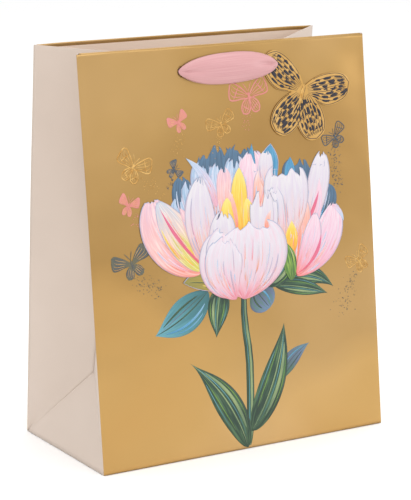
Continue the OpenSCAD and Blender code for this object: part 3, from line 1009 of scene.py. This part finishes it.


# ---- Butterfly gift tag ----
# The tag is die-cut from gold card and printed with dark veins. Its cut edge is painted dark brown, partly
# the brown core and partly painted shade. It hangs by a hole in its left wing, on the ribbon at the right
# handle hole.

tag_turn = math.radians(-20)
tag_reach = 35.0
tag_hole_turn = math.radians(68)
tag_face = 0.85 * mm
tag_card, shader = new_material("gold_laminated_card", {"Roughness": 0.34, "Metallic": 0.6})
# The laminate is on the two faces, which look along Y. The die-cut edge is painted dark brown, partly the
# bare core and partly painted shade
facing = add_node(tag_card, "NewGeometry", "Normal", {})
toward = add_node(tag_card, "SeparateXYZ", "Y", {"Vector": facing})
flatness = worked_out(tag_card, "ABSOLUTE", toward)
cloud = cloud_at(tag_card, texture_place(tag_card), 60.0, 2.0)
tone = ramp_at(tag_card, cloud, [(0.35, "#BE9350"), (0.55, "#C79D5B"), (0.75, "#D0A868")])
on_face = spread_out(tag_card, flatness, 0.6, 0.8)
cover(shader, mixed_colour(tag_card, on_face, linear("#96602A"), tone))
frame["nodes"]["butterfly_tag"].material_slots[0].material = tag_card

navy_ink = ink("navy_tag_ink", [(0, "#14121C"), (0.5, "#17172B"), (1, "#2A2026")], "#241C24")
tag_centre = Vector((hole_x, hole_s)) / mm + Matrix.Rotation(tag_turn, 2) @ (
    tag_reach * Vector((math.sin(tag_hole_turn), -math.cos(tag_hole_turn)))
)


def on_tag(x, s, out):
    """A point out from the tag's front face."""
    return off_plane(x, s, tag_face + out)


tag_fore = (
    [(0, 0.05), (0.3, 0.2), (0.64, 0.24), (0.9, 0.17), (1, 0.02)],
    [(0, -0.05), (0.2, -0.18), (0.46, -0.33), (0.76, -0.3), (0.95, -0.17), (1, 0.02)],
)
tag_hind = (
    [(0, 0.08), (0.28, 0.24), (0.62, 0.31), (0.9, 0.22), (1, 0)],
    [(0, -0.08), (0.28, -0.26), (0.62, -0.33), (0.92, -0.22), (1, 0)],
)
ink_layer = 0.006 * mm
draw = random.Random(21)
# The four wings: side, edges, length, how far its middle is turned from the tag's head
tag_wings = [
    (1, tag_fore, 46, 66),
    (1, tag_hind, 42, 144),
    (-1, tag_fore, 46, 66),
    (-1, tag_hind, 42, 158),
]
for side, edges, length, spread in tag_wings:
    turn = math.degrees(tag_turn)
    wing = wing_shape(edges, tag_centre, length * 0.985, 90 - spread, side, turn, inset=0.95)
    veins = steps(-0.86, 0.86, 7)
    for k, a in enumerate(veins):
        fan = [wing(a * (0.8 + 0.2 * t), t) for t in steps(0.1, 0.9, 16)]
        printed_stroke(fan, 0.45, navy_ink, taper=0.3)
        if k == len(veins) - 1:
            continue
        # Blots hang between the veins, reach one of them by a spur, and turn to dashes at the rim
        cell = veins[k + 1] - a
        t = draw.uniform(0.16, 0.3)
        while t < 0.8:
            long = draw.uniform(0.07, 0.18)
            gap = (wing(a + cell, t + long / 2) - wing(a, t + long / 2)).length
            lean = draw.uniform(-0.2, 0.2)
            blot = [wing(a + cell * (0.5 + lean * math.sin(3 * u)), t + long * u) for u in steps(0, 1, 6)]
            printed_stroke(blot, min(gap * draw.uniform(0.3, 0.95), 2.8), navy_ink, taper=0.2)
            reach = cell * (draw.choice((0.05, 0.95)) - 0.5)
            root = a + cell * 0.5
            spur = [wing(root + reach * u, t + long * (0.5 + 0.4 * u)) for u in steps(0, 1, 4)]
            printed_stroke(spur, draw.uniform(0.5, 0.9), navy_ink, taper=0.5)
            t += long + draw.uniform(0.03, 0.07)
        for share in (0.25, 0.75):
            dash = line_in(wing, a + cell * share, draw.uniform(0.83, 0.86), draw.uniform(0.89, 0.94), 3)
            printed_stroke(dash, draw.uniform(0.3, 0.6), navy_ink, taper=0.4)
    rim = line_in(wing, -1, 0.25, 0.999) + line_in(wing, 1, 0.999, 0.25)[1:]
    printed_stroke(rim, 0.5, navy_ink, taper=0.6)
spine = Matrix.Rotation(tag_turn, 2)
body = [tag_centre + spine @ Vector((0, y)) for y in steps(5, -11.5, 12)]
printed_stroke(body, 3.4, pressed_foil, 0.25 * mm, taper=0.3)
for a in (-1, 1):
    groove = [tag_centre + spine @ Vector((a * 1.5 * math.cos(y * 0.12), y)) for y in steps(3.5, -10, 10)]
    printed_stroke(groove, 0.35, navy_ink, taper=0.3)
hand_over(lay_prints("butterfly_tag_print", on_tag), "tag", [])


# ---- Satin ribbon handles ----
# Each handle is one 25 mm double-faced polyester satin ribbon. It lies across its panel between the two
# holes, bunches as it goes through them, and hangs down inside to a knot and a cut end.

satin, shader = new_material("polyester_satin_ribbon", {
    "Roughness": 0.4, "Sheen Weight": 0.25, "Sheen Roughness": 0.4, "Specular IOR Level": 0.6,
})
uv = texture_place(satin, "UV")
floats = cloud_at(satin, mapped(satin, uv, (60, 3, 1)), 1.0, 3.0)
tone = ramp_at(satin, floats, [(0.3, "#BE888A"), (0.5, "#C59192"), (0.7, "#CC9A9B")])
# Weft picks, drawn 0.5 mm apart along the ribbon, coarser than real satin so that they show
picks = {"Vector": mapped(satin, uv, (0.0, 170.0, 1)), "Scale": 0.32, "Distortion": 0.6}
weft = add_node(satin, "TexWave", "Fac", picks, bands_direction="Y")
cover(shader, tone, bump_of(satin, weft, 0.07))

ribbon_width = 25 * mm
ribbon_thickness = 0.25 * mm
stretch_end = hole_x + 3.1 * mm


def stretch_point(u, v):
    """A point of the outer stretch, u across the ribbon and v along it, both from -1 to 1."""
    x = v * stretch_end
    half = max(ribbon_width / 2 * (1 - abs(v) ** 2.4) ** 0.62, 0.4 * mm)
    pinch = ease(abs(x), 17 * mm, 40 * mm)
    crown = 4.6 * mm * (1 - abs(u) ** 2.2) * (1 - 0.7 * pinch)
    slit = u - (0.12 if x > 0 else -0.05)
    folds = 1.8 * mm * pinch * (1 - math.exp(-((slit / 0.2) ** 2))) * (1 - u**4) ** 0.5
    wave = 0.5 * mm * math.sin(2.4 * u + 60 * x + 0.8)
    out = 1.85 * mm + crown + folds + wave * (1 - pinch)
    dive = ease(abs(x), hole_x - 5 * mm, stretch_end)
    out = out + (1.25 * mm - out) * dive
    lift = 0.4 * mm * math.sin(math.pi * abs(v)) * (1 if v > 0 else -0.6)
    return off_plane(x, hole_s + u * half + lift, out)


front_stretch = sheet_of(
    "front_ribbon_stretch", steps(-1, 1, 32), [math.sin(math.pi / 2 * v) for v in steps(-1, 1, 90)],
    stretch_point, -inward, (satin,),
)
thicken(front_stretch, ribbon_thickness)

gather_radius = 2.85 * mm
# The middle of the bunched ribbon: how deep in the bag, and how far up from the hole, in millimetres
gather_path = [(0.3, 0), (0.4, 0), (0.9, 0), (1.6, 0), (3.2, 0), (4.8, 0), (6.0, -0.25), (6.9, -0.8),
               (7.5, -1.7), (7.8, -2.8), (7.9, -4.0), (7.9, -4.8)]
gather_end = len(gather_path) - 1
# What a bunched or knotted end keeps of its radius, where it closes to a point
closed = 0.02


def gather_point(turn, i):
    """A point on the bunched ribbon, turn round it, at the point i of its path."""
    before, after = gather_path[max(i - 1, 0)], gather_path[min(i + 1, gather_end)]
    way = Vector((after[0] - before[0], after[1] - before[1])).normalized()
    radius = gather_radius * (0.88 + 0.12 * math.cos(7 * turn + 0.25 * i)) * (0.6 if i < 2 else 1)
    radius = radius * (closed if i in (0, gather_end) else 1.0)
    aside, lift = radius * math.cos(turn), radius * math.sin(turn)
    depth = gather_path[i][0] * mm - way.y * lift
    rise = gather_path[i][1] * mm + way.x * lift
    return hole + Vector((aside, 0, 0)) + depth * inward + rise * up


right_gather = sheet_of(
    "front_right_ribbon_bunch", steps(0, 2 * math.pi, 42), range(gather_end + 1),
    gather_point, None, (satin,),
)


def closed_up(piece):
    """Merges a piece's seam and ends, and turns its faces outwards."""
    clean(piece)
    bpy.ops.object.mode_set(mode="EDIT")
    bpy.ops.mesh.select_all(action="SELECT")
    bpy.ops.mesh.remove_doubles(threshold=0.06 * mm)
    bpy.ops.mesh.normals_make_consistent(inside=False)
    bpy.ops.object.mode_set(mode="OBJECT")


closed_up(right_gather)

# The tails hang inside. Each 25 mm ribbon stands in a soft S across 18 mm, and is bunched at both ends
tail_low, tail_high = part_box("front_right_tail")
tail_y = (tail_low.y + tail_high.y) / 2
tail_length = tail_high.z - tail_low.z


def tail_point(u, v):
    """A point of the right tail, u across it from -1 to 1, v down it from 0 to 1."""
    open_out = ease(v, 0.0, 0.22) * (1 - 0.9 * ease(v, 0.8, 1.0))
    half = (2.6 + 6.4 * open_out) * mm
    fold = 2.7 * mm * math.sin(2.5 * math.pi * (u + 1) / 2 + 0.6) * (0.45 + 0.55 * open_out)
    more = 1.1 * mm * math.cos(5 * math.pi * u) * (1 - open_out)
    sway = 0.8 * mm * math.sin(2 * math.pi * v)
    x = hole_x + u * half + sway * open_out
    return Vector((x, tail_y + fold + more, tail_high.z - v * tail_length))


right_tail = sheet_of(
    "front_right_ribbon_tail", steps(-1, 1, 36), steps(0, 1, 70), tail_point, (0, -1, 0), (satin,)
)
thicken(right_tail, ribbon_thickness, 0)

# The knot is a single overhand knot, drawn tight, with the cut end splayed below it
knot_middle = Vector((hole_x, tail_y, tail_low.z - 5.85 * mm))
knot_scale = 1.12 * mm


def knot_line(t):
    """The middle of the ribbon through the knot."""
    return knot_scale * Vector((
        math.sin(t) + 2 * math.sin(2 * t), -1.25 * math.sin(3 * t), math.cos(t) - 2 * math.cos(2 * t)
    ))


def knot_point(turn, t):
    """A point of the knotted ribbon, turn round it and t along it."""
    ahead = (knot_line(t + 0.01) - knot_line(t - 0.01)).normalized()
    across = ahead.cross(Vector((0, 1, 0))).normalized()
    upright = across.cross(ahead)
    crimp = 1 + 0.1 * math.cos(6 * turn)
    return knot_middle + knot_line(t) + crimp * (
        2.1 * mm * math.cos(turn) * across + 1.35 * mm * math.sin(turn) * upright
    )


ring = steps(0, 2 * math.pi, 24)
knot_loop = sheet_of(
    "front_right_ribbon_knot", ring, steps(0, 2 * math.pi, 96), knot_point, None, (satin,)
)
closed_up(knot_loop)
end_length = 16 * mm


def end_point(u, v):
    """A point of the cut end, u across it from -1 to 1, v down it from 0 to 1."""
    half = (2.6 + 6.2 * ease(v, 0, 1)) * mm
    fold = 1.6 * mm * math.sin(2.5 * math.pi * (u + 1) / 2 + 0.6)
    drop = 4.2 * mm + v * (end_length + 0.8 * mm - 1.2 * mm * u)
    return knot_middle + Vector((u * half, fold, -drop))


knot_end = sheet_of("knot_end", steps(-1, 1, 30), steps(0, 1, 16), end_point, (0, -1, 0), (satin,))
thicken(knot_end, ribbon_thickness, 0)
neck_heights = (2.6, 2.6, 4.2, 6.3, 6.4)


def neck_point(turn, i):
    """A point of the neck of ribbon between the knot and its tail."""
    wide, deep = (2.5 * mm, 1.9 * mm) if 0 < i < 4 else (closed * mm, closed * mm)
    x = wide * math.cos(turn) * (1 + 0.1 * math.cos(5 * turn))
    return knot_middle + Vector((x, deep * math.sin(turn), neck_heights[i] * mm))


neck = sheet_of("knot_neck", ring, range(5), neck_point, None, (satin,))
closed_up(neck)
select_only(knot_loop, knot_end, neck)
bpy.ops.object.join()
right_knot = bpy.context.object

# The legs of a drawn handle. At rest they lie stacked behind the ends of the outer stretch
leg_low = -2.3 * mm
leg_high = 2.3 * mm
leg_thickness = 0.15 * mm


def leg_point(u, v):
    """A point of the right leg, u across it from -1 to 1, v up it from 0 to 1."""
    spread = ease(v, 0.0, 0.8)
    half = (2.4 + 4.4 * spread) * mm
    x = hole_x - 0.2 * mm - 6.5 * mm * spread + u * half
    out = 1.2 * mm + 0.12 * mm * math.cos(3 * math.pi * u)
    return off_plane(x, hole_s + leg_low + (leg_high - leg_low) * v, out)


right_leg = sheet_of(
    "front_right_ribbon_leg", steps(-1, 1, 24), steps(0, 1, 40), leg_point, -inward, (satin,)
)
thicken(right_leg, leg_thickness, 0)

# Every piece with its wall and its hand. Turned to the back, a right-hand piece is on the left
mirror = Matrix.Scale(-1, 4, Vector((1, 0, 0)))
handle_pieces = []
for right in (right_gather, right_tail, right_knot, right_leg):
    left = copy_of(right, right.name.replace("right", "left"), mirror)
    left.data.flip_normals()
    for piece, hand, other in ((right, "right", "left"), (left, "left", "right")):
        twin = copy_of(piece, piece.name.replace("front", "back").replace(hand, other))
        handle_pieces += [("front", hand, piece), ("back", other, twin)]
back_stretch = copy_of(front_stretch, "back_ribbon_stretch")
for wall, hand, piece in handle_pieces:
    if "knot" in piece.name:
        hand_over(piece, wall + "_knots", ["%s_%s_knot" % (wall, hand)])
    elif "bunch" in piece.name:
        hand_over(piece, wall + "_wall", ["%s_%s_gather" % (wall, hand)])
low = crease + (hole_s + leg_low) * up
high = crease + (hole_s + leg_high) * up
for wall, hand, piece in handle_pieces:
    sign = 1 if wall == "front" else -1
    if "tail" in piece.name:
        hand_over(piece, wall + "_wall", ["%s_%s_tail" % (wall, hand)])
        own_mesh(piece)
    elif "leg" in piece.name:
        start, end = Vector((0, sign * low.y, low.z)), Vector((0, sign * high.y, high.z))
        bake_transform(piece)
for wall, piece in (("front", front_stretch), ("back", back_stretch)):
    hand_over(piece, wall + "_handle", [wall + "_ribbon"])
